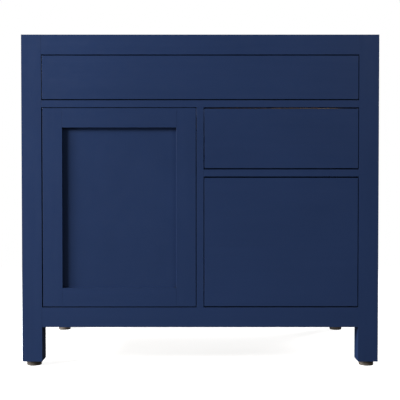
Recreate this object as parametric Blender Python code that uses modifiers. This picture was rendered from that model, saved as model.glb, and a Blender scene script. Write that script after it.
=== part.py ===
"""Bathroom vanity cabinet: four posts on screw-in feet, an inset front frame with a false front, a framed door on
concealed cup hinges with a push latch, and two dovetailed drawers on full-extension ball-bearing slides.

Metres, +Z up, front towards -Y. The origin is on the floor, under the middle of the cabinet.
"""

import math

import bmesh
import bpy

# ---- Driving dimensions -------------------------------------------------------------------------------------------
WIDTH = 0.9144
DEPTH = 0.5461
HEIGHT = 0.8509  # floor to the rim that carries the countertop
GAP = 0.0003  # between pieces that touch

# Posts and front frame
POST = 0.0508  # square section of the front posts, which show as the outer stiles
REAR_POST = 0.040
LEG_CLEARANCE = 0.0889  # under the bottom rail, down to the posts' lower ends
WIDE_RAIL = 0.0508  # height of the top and bottom rails
THIN_RAIL = 0.018  # height of the rails between the fronts, and width of the centre stile
FRONT_THICKNESS = 0.019  # wide rails, door, drawer fronts and false front
FALSE_OPENING = 0.1164  # height
UPPER_DRAWER_OPENING = 0.1587  # height

# Gaps round the inset fronts
FALSE_GAP_SIDE = 0.0020
FALSE_GAP_TOP = 0.0026
FALSE_GAP_BOTTOM = 0.0029
DOOR_GAP_HINGE = 0.0030
DOOR_GAP_LATCH = 0.0020
DOOR_GAP_TOP = 0.0019
DOOR_GAP_BOTTOM = 0.0026
DRAWER_GAP_SIDE = 0.0020
DRAWER_GAP_TOP = 0.0035
DRAWER_GAP_BOTTOM = 0.0032

# Carcass
SIDE_REVEAL = 0.003  # side rails behind the posts' outer faces
SIDE_RECESS = 0.006  # side panel behind the side rails
SIDE_THICKNESS = 0.018
FLOOR_THICKNESS = 0.018
BACK_RAIL_THICKNESS = 0.018
BACK_RAIL_TOP_HEIGHT = 0.100
BACK_RAIL_BOTTOM_HEIGHT = 0.0762
BACK_PANEL_THICKNESS = 0.006
BACK_PANEL_LAP = 0.030  # over the back top rail
PLUMBING_WIDTH_MARGIN = 0.080  # from the left bay's sides to the plumbing opening
PLUMBING_BOTTOM_MARGIN = 0.130  # above the floor panel
PLUMBING_TOP_MARGIN = 0.060  # below the middle rail's level
BATTEN_HEIGHT = 0.070

# Door
DOOR_STILE = 0.050
DOOR_RAIL_TOP = 0.0495
DOOR_RAIL_BOTTOM = 0.0475
DOOR_RECESS = 0.010  # panel behind the frame's face
DOOR_PANEL_THICKNESS = 0.006
DOOR_GROOVE = 0.008  # how far the panel runs into the frame

# Concealed hinges, each with one pin inside its cup
HINGE_INSET = 0.095  # cup centre from the door's upper or lower end
CUP_RADIUS = 0.0175
CUP_TAB = 0.0040  # door's edge to the cup
CUP_DEPTH = 0.0128
CUP_WALL = 0.0008
CUP_FLANGE_RADIUS = 0.0195
WING_OFFSET = 0.0095  # screw line from the cup's centre
WING_WIDTH = 0.012
WING_LENGTH = 0.058
PIN_RADIUS = 0.0011
EYE_RADIUS = 0.0022
SWING_CLEARANCE = 0.0005  # between the post and the door's front edge as it swings past
ARM_THICKNESS = 0.0024
ARM_WIDTH = 0.012
ARM_OFF_MIDDLE = math.radians(-1.4)  # direction of the neck, from the middle of its room in the cup's mouth
DOOR_OPENS = math.radians(97)
ARM_BEND_ENDS = math.radians(105)
ARM_FOOT_THICKNESS = 0.003
PLATE_THICKNESS = 0.0022
PLATE_HEIGHT = 0.046
PLATE_LENGTH = 0.0155
PLATE_SETBACK = 0.0008  # plate's rear end from the post's rear face

# Push latch on the centre partition
LATCH_SIDE = 0.014
LATCH_LENGTH = 0.060
LATCH_DROP = 0.040  # latch centre below the middle rail
STRIKE_THICKNESS = 0.001  # steel plate that a push latch's magnet holds
PLUNGER_RADIUS = 0.003
PLUNGER_OUT = 0.006  # showing, which leaves room for the push
PLUNGER_LENGTH = 0.022
PLUNGER_BORE = 0.021

# Drawers and slides
BOX_BOARD = 0.012
BOX_LIFT = 0.012  # box above the drawer opening's lower edge
UPPER_BOX_HEADROOM = 0.035
LOWER_BOX_HEADROOM = 0.075
BOX_REAR_CLEARANCE = 0.045
BOX_BOTTOM_THICKNESS = 0.006
BOX_BOTTOM_LIFT = 0.010
BOX_GROOVE = 0.005
TAIL_PITCH = 0.028  # wanted spacing of the dovetails
TAIL_SHARE = 0.55  # of the pitch, at a tail's root
TAIL_SLOPE = 1 / 6
SLIDE_SPACE = 0.013  # between cabinet and drawer box, each side
SLIDE_SHORTER = 0.007  # than the drawer box
SLIDE_FRONT = 0.003  # slide's front end behind the drawer box's front
SLIDE_ABOVE_BOX = 0.050  # slide's centre line above the box's lower edge
SLIDE_HEIGHT = 0.0457
SLIDE_WALL = 0.0012
SLIDE_BALL_SPACE = 0.0016  # between nested members' flanges
SLIDE_OUTER_WIDTH = 0.010
SLIDE_MIDDLE_WIDTH = 0.009
SLIDE_INNER_WIDTH = 0.0082
SLIDE_MIDDLE_SHORTER = 0.010

# Feet
FOOT_RADIUS = 0.019
FOOT_HEIGHT = 0.0127  # floor to the posts' lower ends
FOOT_CHAMFER = 0.0012
STEM_RADIUS = 0.004
STEM_LENGTH = 0.030  # inside the post
STEM_SPARE = 0.004  # bore beyond the stem

ROUND_SEGMENTS = 32
CUT_PAST = 0.002  # cutters run this far past the faces they open

# ---- Places that follow from them ---------------------------------------------------------------------------------
FRONT = -DEPTH / 2
BACK = DEPTH / 2
FRONT_BACK_FACE = FRONT + FRONT_THICKNESS
POST_BACK_FACE = FRONT + POST
POST_X = WIDTH / 2 - POST  # inner faces of the front posts
REAR_POST_X = WIDTH / 2 - REAR_POST
REAR_POST_FACE = BACK - REAR_POST
HALF_STILE = THIN_RAIL / 2

RAIL_BASE = FOOT_HEIGHT + LEG_CLEARANCE
FLOOR_TOP = RAIL_BASE + WIDE_RAIL
TOP_RAIL_BASE = HEIGHT - WIDE_RAIL
MIDDLE_RAIL_TOP = TOP_RAIL_BASE - FALSE_OPENING
MIDDLE_RAIL_BASE = MIDDLE_RAIL_TOP - THIN_RAIL
DRAWER_RAIL_TOP = MIDDLE_RAIL_BASE - UPPER_DRAWER_OPENING
DRAWER_RAIL_BASE = DRAWER_RAIL_TOP - THIN_RAIL

SIDE_RAIL_FACE = WIDTH / 2 - SIDE_REVEAL
SIDE_INNER_FACE = SIDE_RAIL_FACE - SIDE_THICKNESS
BACK_RAIL_FACE = BACK - BACK_RAIL_THICKNESS
BACK_PANEL_FACE = BACK_RAIL_FACE - GAP - BACK_PANEL_THICKNESS

DOOR_RIGHT = -HALF_STILE - DOOR_GAP_LATCH
DOOR_BASE = FLOOR_TOP + DOOR_GAP_BOTTOM
DOOR_TOP = MIDDLE_RAIL_BASE - DOOR_GAP_TOP

# The pin clears the cup's floor, and is as far in as the door's front edge needs to swing past the post.
PIN_DEPTH = FRONT_THICKNESS - CUP_DEPTH + CUP_WALL + EYE_RADIUS + GAP
SWING = DOOR_GAP_HINGE - SWING_CLEARANCE
PIN_FROM_EDGE = (PIN_DEPTH**2 - SWING**2) / (2 * SWING)
DOOR_LEFT = -POST_X + DOOR_GAP_HINGE
PIN_X = DOOR_LEFT + PIN_FROM_EDGE
PIN_Y = FRONT + PIN_DEPTH
CUP_X = DOOR_LEFT + CUP_TAB + CUP_RADIUS
SWEEP_RADIUS = math.hypot(PIN_FROM_EDGE, max(PIN_DEPTH, FRONT_THICKNESS - PIN_DEPTH))
ARM_RADIUS = SWEEP_RADIUS + SWING_CLEARANCE + ARM_THICKNESS / 2

# The neck's room, as directions from the pin: past the mouth's far side when the door is shut, and short of its
# near side when the door is open. The mouth is measured at the arm's upper and lower edges.
MOUTH_REACH = math.sqrt((CUP_RADIUS - CUP_WALL) ** 2 - (ARM_WIDTH / 2) ** 2)
MOUTH_ABOVE_PIN = FRONT_BACK_FACE + GAP + CUP_WALL - PIN_Y
MOUTH_FAR = CUP_X + MOUTH_REACH - PIN_X
MOUTH_NEAR = CUP_X - MOUTH_REACH - PIN_X
ROOM_STARTS = math.atan2(MOUTH_ABOVE_PIN, MOUTH_FAR)
ROOM_STARTS += math.asin(ARM_THICKNESS / 2 / math.hypot(MOUTH_ABOVE_PIN, MOUTH_FAR))
ROOM_ENDS = math.atan2(MOUTH_ABOVE_PIN, MOUTH_NEAR) - DOOR_OPENS
ROOM_ENDS -= math.asin(ARM_THICKNESS / 2 / math.hypot(MOUTH_ABOVE_PIN, MOUTH_NEAR))
ARM_LEAVES_CUP = (ROOM_STARTS + ROOM_ENDS) / 2 + ARM_OFF_MIDDLE

BOX_FRONT = FRONT_BACK_FACE + GAP
BOX_BACK = BACK_PANEL_FACE - BOX_REAR_CLEARANCE
BOX_LEFT = HALF_STILE + SLIDE_SPACE
BOX_RIGHT = POST_X - SLIDE_SPACE
SLIDE_LENGTH = BOX_BACK - BOX_FRONT - SLIDE_SHORTER


# ---- Scene and materials ------------------------------------------------------------------------------------------
def clear_scene():
    for obj in list(bpy.data.objects):
        bpy.data.objects.remove(obj)


def new_collection(name):
    made = bpy.data.collections.new(name)
    bpy.context.scene.collection.children.link(made)
    return made


def material(name, colour, roughness, metallic=0.0):
    made = bpy.data.materials.new(name)
    made.use_nodes = True
    shader = made.node_tree.nodes["Principled BSDF"]
    shader.inputs["Base Color"].default_value = (*colour, 1.0)
    shader.inputs["Roughness"].default_value = roughness
    shader.inputs["Metallic"].default_value = metallic
    return made


# ---- Shapes -------------------------------------------------------------------------------------------------------
def place(obj, paint, parent, collection):
    """Links obj, gives it its material and hangs it on its parent empty without moving it."""
    collection.objects.link(obj)
    if paint:
        obj.data.materials.append(paint)
    if parent:
        obj.parent = parent
        obj.location -= parent.location
    return obj


def mesh_object(name, shape, location):
    mesh = bpy.data.meshes.new(name)
    shape.to_mesh(mesh)
    shape.free()
    obj = bpy.data.objects.new(name, mesh)
    obj.location = location
    return obj


def block(name, x, y, z, paint=None, parent=None, collection=None):
    """A board from its ranges along the three axes."""
    low, high = zip(x, y, z)
    shape = bmesh.new()
    bmesh.ops.create_cube(shape, size=1.0)
    bmesh.ops.scale(shape, vec=[b - a for a, b in zip(low, high)], verts=shape.verts)
    obj = mesh_object(name, shape, [(a + b) / 2 for a, b in zip(low, high)])
    return place(obj, paint, parent, collection or parts)


def rod(name, radius, start, end, axis, paint=None, parent=None, collection=None):
    """A cylinder round the line at start along axis "Y" or "Z", as far as end on that axis."""
    shape = bmesh.new()
    index = "XYZ".index(axis)
    bmesh.ops.create_cone(
        shape, cap_ends=True, segments=ROUND_SEGMENTS, radius1=radius, radius2=radius, depth=end - start[index]
    )
    centre = list(start)
    centre[index] = (start[index] + end) / 2
    obj = mesh_object(name, shape, centre)
    if axis == "Y":
        obj.rotation_euler = (math.pi / 2, 0, 0)
    return place(obj, paint, parent, collection or parts)


# How an outline's own x, y and normal lie in the world.
ROTATION = {"XY": (0, 0, 0), "XZ": (math.pi / 2, 0, 0), "YZ": (math.pi / 2, 0, math.pi / 2)}
NORMAL = {"XY": 2, "XZ": 1, "YZ": 0}


def sheet(name, plane, outline, span, paint=None, parent=None, hole=None, collection=None):
    """A flat outline in a world plane, with one hole if given, extruded over span along the third axis."""
    curve = bpy.data.curves.new(name, "CURVE")
    curve.dimensions = "2D"
    curve.fill_mode = "BOTH"
    curve.extrude = (span[1] - span[0]) / 2
    for points in filter(None, (outline, hole)):
        spline = curve.splines.new("POLY")
        spline.points.add(len(points) - 1)
        for target, (u, v) in zip(spline.points, points):
            target.co = (u, v, 0, 1)
        spline.use_cyclic_u = True
    flat = bpy.data.objects.new(name + "_outline", curve)
    bpy.context.scene.collection.objects.link(flat)
    flat.rotation_euler = ROTATION[plane]
    flat.location[NORMAL[plane]] = (span[0] + span[1]) / 2
    bpy.context.view_layer.update()
    graph = bpy.context.evaluated_depsgraph_get()
    mesh = bpy.data.meshes.new_from_object(flat.evaluated_get(graph))
    welded = bmesh.new()
    welded.from_mesh(mesh)
    bmesh.ops.remove_doubles(welded, verts=welded.verts, dist=1e-6)
    bmesh.ops.recalc_face_normals(welded, faces=welded.faces)
    welded.to_mesh(mesh)
    welded.free()
    obj = bpy.data.objects.new(name, mesh)
    obj.matrix_world = flat.matrix_world
    bpy.data.objects.remove(flat)
    return place(obj, paint, parent, collection or parts)


def turned(name, profile, location, paint, parent):
    """A profile of (radius, height) points, from its top down its outer side, turned about Z."""
    mesh = bpy.data.meshes.new(name)
    edges = [(i, i + 1) for i in range(len(profile) - 1)]
    mesh.from_pydata([(r, 0, z) for r, z in profile], edges, [])
    obj = bpy.data.objects.new(name, mesh)
    obj.location = location
    screw = obj.modifiers.new("Turn", "SCREW")
    screw.steps = screw.render_steps = ROUND_SEGMENTS
    screw.use_merge_vertices = True
    screw.merge_threshold = 0.00005
    return place(obj, paint, parent, parts)


def combine(obj, other, operation="DIFFERENCE"):
    """Cuts other from obj, or joins it on."""
    other.hide_render = True
    other.display_type = "WIRE"
    boolean = obj.modifiers.new(operation.title(), "BOOLEAN")
    boolean.operation = operation
    boolean.object = other


def pivot(name, location):
    """The parent empty of a moving body, on its joint's axis."""
    empty = bpy.data.objects.new(name, None)
    empty.location = location
    parts.objects.link(empty)
    return empty


def grown(low, high, by=GAP):
    return low - by, high + by


# ---- Cabinet ------------------------------------------------------------------------------------------------------
def build_posts():
    for side, sign in (("left", -1), ("right", 1)):
        for end in ("front", "rear"):
            size = POST if end == "front" else REAR_POST
            x = sorted((sign * WIDTH / 2, sign * (WIDTH / 2 - size)))
            y = (FRONT, FRONT + POST) if end == "front" else (BACK - REAR_POST, BACK)
            post = block(f"post_{end}_{side}", x, y, (FOOT_HEIGHT, HEIGHT), navy)
            centre = (sum(x) / 2, sum(y) / 2)
            bore = rod(
                f"bore_{end}_{side}",
                STEM_RADIUS + GAP,
                (*centre, FOOT_HEIGHT - CUT_PAST),
                FOOT_HEIGHT + STEM_LENGTH + STEM_SPARE,
                "Z",
                collection=cutters,
            )
            combine(post, bore)
            build_foot(f"foot_{end}_{side}", centre)


def build_foot(name, centre):
    """A screw-in glide: a wide pad on a stem that turns in the post. It stands screwed fully in."""
    top = FOOT_HEIGHT - GAP
    profile = [
        (0, FOOT_HEIGHT + STEM_LENGTH),
        (STEM_RADIUS, FOOT_HEIGHT + STEM_LENGTH),
        (STEM_RADIUS, top),
        (FOOT_RADIUS - FOOT_CHAMFER, top),
        (FOOT_RADIUS, top - FOOT_CHAMFER),
        (FOOT_RADIUS, FOOT_CHAMFER),
        (FOOT_RADIUS - FOOT_CHAMFER, 0),
        (0, 0),
    ]
    turned(name, profile, (0, 0, 0), foot_plastic, None).location = (*centre, 0)


def build_front_frame():
    across = (-POST_X + GAP, POST_X - GAP)
    deep = (FRONT, POST_BACK_FACE)
    flat = (FRONT, FRONT_BACK_FACE)
    block("rail_front_top", across, flat, (TOP_RAIL_BASE, HEIGHT), navy)
    block("rail_front_middle", across, deep, (MIDDLE_RAIL_BASE, MIDDLE_RAIL_TOP), navy)
    block("rail_front_bottom", across, flat, (RAIL_BASE, FLOOR_TOP), navy)
    upright = (FLOOR_TOP + GAP, MIDDLE_RAIL_BASE - GAP)
    block("stile_front_centre", (-HALF_STILE, HALF_STILE), deep, upright, navy)
    right_bay = (HALF_STILE + GAP, POST_X - GAP)
    block("rail_between_drawers", right_bay, deep, (DRAWER_RAIL_BASE, DRAWER_RAIL_TOP), navy)
    block(
        "false_front",
        (-POST_X + FALSE_GAP_SIDE, POST_X - FALSE_GAP_SIDE),
        flat,
        (MIDDLE_RAIL_TOP + FALSE_GAP_BOTTOM, TOP_RAIL_BASE - FALSE_GAP_TOP),
        navy,
    )


def build_sides():
    """Each side is a panel with its top and bottom rails, standing between a front and a rear post."""
    panel_face = SIDE_RAIL_FACE - SIDE_RECESS
    rails = (RAIL_BASE + WIDE_RAIL, HEIGHT - WIDE_RAIL)
    outline = [
        (SIDE_INNER_FACE, RAIL_BASE),
        (SIDE_RAIL_FACE, RAIL_BASE),
        (SIDE_RAIL_FACE, rails[0]),
        (panel_face, rails[0]),
        (panel_face, rails[1]),
        (SIDE_RAIL_FACE, rails[1]),
        (SIDE_RAIL_FACE, HEIGHT),
        (SIDE_INNER_FACE, HEIGHT),
    ]
    between_posts = (POST_BACK_FACE + GAP, REAR_POST_FACE - GAP)
    for side, sign in (("left", -1), ("right", 1)):
        sheet(f"side_panel_{side}", "XZ", [(sign * u, v) for u, v in outline], between_posts, navy)


def build_back():
    across = (-REAR_POST_X + GAP, REAR_POST_X - GAP)
    thick = (BACK_RAIL_FACE, BACK)
    block("rail_back_top", across, thick, (HEIGHT - BACK_RAIL_TOP_HEIGHT, HEIGHT), navy)
    block("rail_back_bottom", across, thick, (RAIL_BASE, RAIL_BASE + BACK_RAIL_BOTTOM_HEIGHT), navy)
    top = HEIGHT - BACK_RAIL_TOP_HEIGHT + BACK_PANEL_LAP
    base = FLOOR_TOP + GAP
    outline = [(across[0], base), (across[1], base), (across[1], top), (across[0], top)]
    left, right = -POST_X + PLUMBING_WIDTH_MARGIN, -HALF_STILE - PLUMBING_WIDTH_MARGIN
    low, high = FLOOR_TOP + PLUMBING_BOTTOM_MARGIN, MIDDLE_RAIL_BASE - PLUMBING_TOP_MARGIN
    plumbing = [(left, low), (left, high), (right, high), (right, low)]
    thickness = (BACK_PANEL_FACE, BACK_RAIL_FACE - GAP)
    sheet("back_panel", "XZ", outline, thickness, plywood, hole=plumbing)


def build_inside():
    """The floor, notched round the posts, the partition behind the centre stile, and the right side's battens."""
    outer = SIDE_INNER_FACE - GAP
    half = [
        (POST_X - GAP, FRONT_BACK_FACE + GAP),
        (POST_X - GAP, POST_BACK_FACE + GAP),
        (outer, POST_BACK_FACE + GAP),
        (outer, REAR_POST_FACE - GAP),
        (REAR_POST_X - GAP, REAR_POST_FACE - GAP),
        (REAR_POST_X - GAP, BACK_RAIL_FACE - GAP),
    ]
    outline = half + [(-x, y) for x, y in reversed(half)]
    sheet("floor_panel", "XY", outline, (FLOOR_TOP - FLOOR_THICKNESS, FLOOR_TOP), plywood)
    inside = (POST_BACK_FACE + GAP, BACK_PANEL_FACE - GAP)
    block("centre_partition", (-HALF_STILE, HALF_STILE), inside, (FLOOR_TOP + GAP, MIDDLE_RAIL_TOP), plywood)


def build_batten(name, height):
    """Packs the right side out to the post's inner face, where that side's slide is screwed on."""
    block(
        name,
        (POST_X, SIDE_INNER_FACE - GAP),
        (POST_BACK_FACE + GAP, REAR_POST_FACE - GAP),
        (height - BATTEN_HEIGHT / 2, height + BATTEN_HEIGHT / 2),
        birch,
    )


# ---- Door ---------------------------------------------------------------------------------------------------------
def build_door():
    """Frame and floating panel, hung on the hinge pins' line."""
    door = pivot("door_pivot", (PIN_X, PIN_Y, 0))
    thick = (FRONT, FRONT_BACK_FACE)
    left = (DOOR_LEFT, DOOR_LEFT + DOOR_STILE)
    right = (DOOR_RIGHT - DOOR_STILE, DOOR_RIGHT)
    between = (left[1] + GAP, right[0] - GAP)
    top = (DOOR_TOP - DOOR_RAIL_TOP, DOOR_TOP)
    bottom = (DOOR_BASE, DOOR_BASE + DOOR_RAIL_BOTTOM)
    full = (DOOR_BASE, DOOR_TOP)
    frame = [
        block("door_stile_left", left, thick, full, navy, door),
        block("door_stile_right", right, thick, full, navy, door),
        block("door_rail_top", between, thick, top, navy, door),
        block("door_rail_bottom", between, thick, bottom, navy, door),
    ]
    panel_x = (left[1] - DOOR_GROOVE, right[0] + DOOR_GROOVE)
    panel_y = (FRONT + DOOR_RECESS, FRONT + DOOR_RECESS + DOOR_PANEL_THICKNESS)
    panel_z = (bottom[1] - DOOR_GROOVE, top[0] + DOOR_GROOVE)
    block("door_panel", panel_x, panel_y, panel_z, navy, door)
    groove = block("door_groove", grown(*panel_x), grown(*panel_y), grown(*panel_z), None, door, cutters)
    for board in frame:
        combine(board, groove)
    for place_name, height in (("upper", DOOR_TOP - HINGE_INSET), ("lower", DOOR_BASE + HINGE_INSET)):
        build_hinge(place_name, height, door, frame[0])


def build_hinge(place_name, height, door, stile):
    build_cup(place_name, height, door, stile)
    build_arm(place_name, height)
    plate_rear = POST_BACK_FACE - PLATE_SETBACK
    block(
        f"hinge_plate_{place_name}",
        (-POST_X + GAP, -POST_X + GAP + PLATE_THICKNESS),
        (plate_rear - PLATE_LENGTH, plate_rear),
        (height - PLATE_HEIGHT / 2, height + PLATE_HEIGHT / 2),
        steel,
    )


def build_cup(place_name, height, door, stile):
    """The cup in the door's back, its flange and screw wings, and the pin across it."""
    floor = FRONT_BACK_FACE - CUP_DEPTH
    flange = (FRONT_BACK_FACE + GAP, FRONT_BACK_FACE + GAP + CUP_WALL)
    centre = (CUP_X, floor, height)
    cup = rod(f"hinge_cup_{place_name}", CUP_RADIUS, centre, flange[1], "Y", steel, door)
    rim = rod(
        f"cup_rim_{place_name}", CUP_FLANGE_RADIUS, (CUP_X, flange[0], height), flange[1], "Y", None, door, cutters
    )
    wings = block(
        f"cup_wings_{place_name}",
        (CUP_X + WING_OFFSET - WING_WIDTH / 2, CUP_X + WING_OFFSET + WING_WIDTH / 2),
        flange,
        (height - WING_LENGTH / 2, height + WING_LENGTH / 2),
        None,
        door,
        cutters,
    )
    inside_radius = CUP_RADIUS - CUP_WALL
    inside_start = (CUP_X, floor + CUP_WALL, height)
    inside = rod(
        f"cup_inside_{place_name}", inside_radius, inside_start, flange[1] + CUT_PAST, "Y", None, door, cutters
    )
    reach = math.sqrt(inside_radius**2 - (PIN_X - CUP_X) ** 2) + CUP_WALL / 2
    pin = rod(
        f"hinge_pin_{place_name}",
        PIN_RADIUS,
        (PIN_X, PIN_Y, height - reach),
        height + reach,
        "Z",
        None,
        door,
        cutters,
    )
    combine(cup, rim, "UNION")
    combine(cup, wings, "UNION")
    combine(cup, inside)
    combine(cup, pin, "UNION")
    bore_start = (CUP_X, floor - GAP, height)
    bore = rod(
        f"cup_bore_{place_name}", CUP_RADIUS + GAP, bore_start, FRONT_BACK_FACE + CUT_PAST, "Y", None, door, cutters
    )
    combine(stile, bore)


def about_pin(radius, angle):
    return PIN_X + radius * math.cos(angle), PIN_Y + radius * math.sin(angle)


def arc(radius, start, end, steps):
    return [about_pin(radius, start + (end - start) * i / steps) for i in range(steps + 1)]


def build_arm(place_name, height):
    """A swan neck from the post, round the swept edge of the door, into the cup and round its pin."""
    half = ARM_THICKNESS / 2
    spread = math.asin(half / EYE_RADIUS)
    eye = arc(EYE_RADIUS, ARM_LEAVES_CUP + spread, ARM_LEAVES_CUP + 2 * math.pi - spread, 20)
    foot_x = -POST_X + 2 * GAP + PLATE_THICKNESS
    root_x = foot_x + ARM_FOOT_THICKNESS / 2
    inner_y = about_pin(ARM_RADIUS - half, ARM_BEND_ENDS)[1]
    outer_y = about_pin(ARM_RADIUS + half, ARM_BEND_ENDS)[1]
    # The neck's straight part is parallel to the line from the pin, half a thickness to each side of it.
    inner_start = ARM_LEAVES_CUP + math.asin(half / (ARM_RADIUS - half))
    outer_start = ARM_LEAVES_CUP - math.asin(half / (ARM_RADIUS + half))
    inner_bend = arc(ARM_RADIUS - half, inner_start, ARM_BEND_ENDS, 10)
    outer_bend = arc(ARM_RADIUS + half, ARM_BEND_ENDS, outer_start, 10)
    outline = eye[::-1] + inner_bend + [(root_x, inner_y), (root_x, outer_y)] + outer_bend
    hole = arc(PIN_RADIUS + GAP, 0, 2 * math.pi * (1 - 1 / 16), 15)
    width = (height - ARM_WIDTH / 2, height + ARM_WIDTH / 2)
    arm = sheet(f"hinge_arm_{place_name}", "XY", outline, width, steel, hole=hole)
    foot = block(
        f"arm_foot_{place_name}",
        (foot_x, foot_x + ARM_FOOT_THICKNESS),
        (inner_y, POST_BACK_FACE - PLATE_SETBACK),
        grown(*width, by=-GAP),
        None,
        None,
        cutters,
    )
    combine(arm, foot, "UNION")


def build_latch():
    """A push latch on the partition. Its plunger meets a thin steel plate on the door's back."""
    x = -HALF_STILE - GAP - LATCH_SIDE / 2
    z = MIDDLE_RAIL_BASE - LATCH_DROP
    tip = FRONT_BACK_FACE + GAP + STRIKE_THICKNESS + GAP
    face = tip + PLUNGER_OUT
    housing = block(
        "latch_housing",
        (x - LATCH_SIDE / 2, x + LATCH_SIDE / 2),
        (face, face + LATCH_LENGTH),
        (z - LATCH_SIDE / 2, z + LATCH_SIDE / 2),
        latch_plastic,
    )
    bore = rod(
        "latch_bore", PLUNGER_RADIUS + GAP, (x, face - CUT_PAST, z), face + PLUNGER_BORE, "Y", collection=cutters
    )
    combine(housing, bore)
    plunger = pivot("latch_pivot", (x, tip, z))
    rod("latch_plunger", PLUNGER_RADIUS, (x, tip, z), tip + PLUNGER_LENGTH, "Y", latch_plastic, plunger)


# ---- Drawers ------------------------------------------------------------------------------------------------------
def tail_places(height):
    """Heights of a corner's tails above the box's lower edge, and a tail's half width at its root."""
    count = max(2, round(height / TAIL_PITCH))
    pitch = height / count
    return [(i + 0.5) * pitch for i in range(count)], pitch * TAIL_SHARE / 2


def side_outline(z):
    """A drawer side as (y, z): tails at both ends, as deep as the boards that they go through."""
    places, half = tail_places(z[1] - z[0])
    wide = half + BOX_BOARD * TAIL_SLOPE
    front, back = BOX_FRONT + BOX_BOARD, BOX_BACK - BOX_BOARD
    points = [(front, z[0])]
    for up in places:
        c = z[0] + up
        points += [(front, c - half), (BOX_FRONT, c - wide), (BOX_FRONT, c + wide), (front, c + half)]
    points += [(front, z[1]), (back, z[1])]
    for up in reversed(places):
        c = z[0] + up
        points += [(back, c + half), (BOX_BACK, c + wide), (BOX_BACK, c - wide), (back, c - half)]
    return points + [(back, z[0])]


def socket(name, x, y_root, y_end, centre, half, parent):
    """A cutter for one tail: as wide as its root at y_root, opening out past y_end."""
    run = (y_end - y_root) * (1 + CUT_PAST / abs(y_end - y_root))
    wide = half + abs(run) * TAIL_SLOPE
    outline = [
        (y_root, centre - half),
        (y_root + run, centre - wide),
        (y_root + run, centre + wide),
        (y_root, centre + half),
    ]
    return sheet(name, "YZ", outline, x, parent=parent, collection=cutters)


def build_end_board(name, y, z, parent):
    """The front or back board of a drawer box, with a socket for each tail of both sides."""
    board = block(name, (BOX_LEFT, BOX_RIGHT), y, z, birch, parent)
    is_front = y[0] < 0
    root, end = (BOX_FRONT + BOX_BOARD, BOX_FRONT) if is_front else (BOX_BACK - BOX_BOARD, BOX_BACK)
    places, half = tail_places(z[1] - z[0])
    ends = ((BOX_LEFT - CUT_PAST, BOX_LEFT + BOX_BOARD + GAP), (BOX_RIGHT - BOX_BOARD - GAP, BOX_RIGHT + CUT_PAST))
    for side, x in enumerate(ends):
        for i, up in enumerate(places):
            combine(board, socket(f"{name}_socket_{side}_{i}", x, root, end, z[0] + up, half + GAP, parent))
    return board


def build_drawer(level, opening, headroom):
    """A drawer in its opening: an applied front on a dovetailed box, and a slide on each side."""
    drawer = pivot(f"{level}_drawer_pivot", (0, FRONT, opening[0]))
    block(
        f"{level}_drawer_front",
        (HALF_STILE + DRAWER_GAP_SIDE, POST_X - DRAWER_GAP_SIDE),
        (FRONT, FRONT_BACK_FACE),
        (opening[0] + DRAWER_GAP_BOTTOM, opening[1] - DRAWER_GAP_TOP),
        navy,
        drawer,
    )
    z = (opening[0] + BOX_LIFT, opening[1] - headroom)
    front_y = (BOX_FRONT, BOX_FRONT + BOX_BOARD - GAP)
    back_y = (BOX_BACK - BOX_BOARD + GAP, BOX_BACK)
    boards = [
        build_end_board(f"{level}_drawer_inner_front", front_y, z, drawer),
        build_end_board(f"{level}_drawer_back", back_y, z, drawer),
    ]
    outline = side_outline(z)
    sides = {"left": (BOX_LEFT, BOX_LEFT + BOX_BOARD), "right": (BOX_RIGHT - BOX_BOARD, BOX_RIGHT)}
    for side, x in sides.items():
        boards.append(sheet(f"{level}_drawer_side_{side}", "YZ", outline, x, birch, drawer))
    into = BOX_BOARD - BOX_GROOVE
    bottom_x = (BOX_LEFT + into, BOX_RIGHT - into)
    bottom_y = (BOX_FRONT + into, BOX_BACK - into)
    bottom_z = (z[0] + BOX_BOTTOM_LIFT, z[0] + BOX_BOTTOM_LIFT + BOX_BOTTOM_THICKNESS)
    block(f"{level}_drawer_bottom", bottom_x, bottom_y, bottom_z, birch, drawer)
    groove_ranges = (grown(*bottom_x), grown(*bottom_y), grown(*bottom_z))
    groove = block(f"{level}_drawer_groove", *groove_ranges, None, drawer, cutters)
    for board in boards:
        combine(board, groove)
    slide_height = z[0] + SLIDE_ABOVE_BOX
    build_slides(level, slide_height, drawer)
    build_batten(f"runner_batten_{level}", slide_height)


def channel(start, end, height, opens_out):
    """A C section as (distance from the cabinet's face, height), with its web on the cabinet's or the drawer's side."""
    web, tip = (start, end) if opens_out else (end, start)
    inner = web + SLIDE_WALL if opens_out else web - SLIDE_WALL
    h, f = height / 2, height / 2 - SLIDE_WALL
    return [(web, -h), (tip, -h), (tip, -f), (inner, -f), (inner, f), (tip, f), (tip, h), (web, h)]


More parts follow.
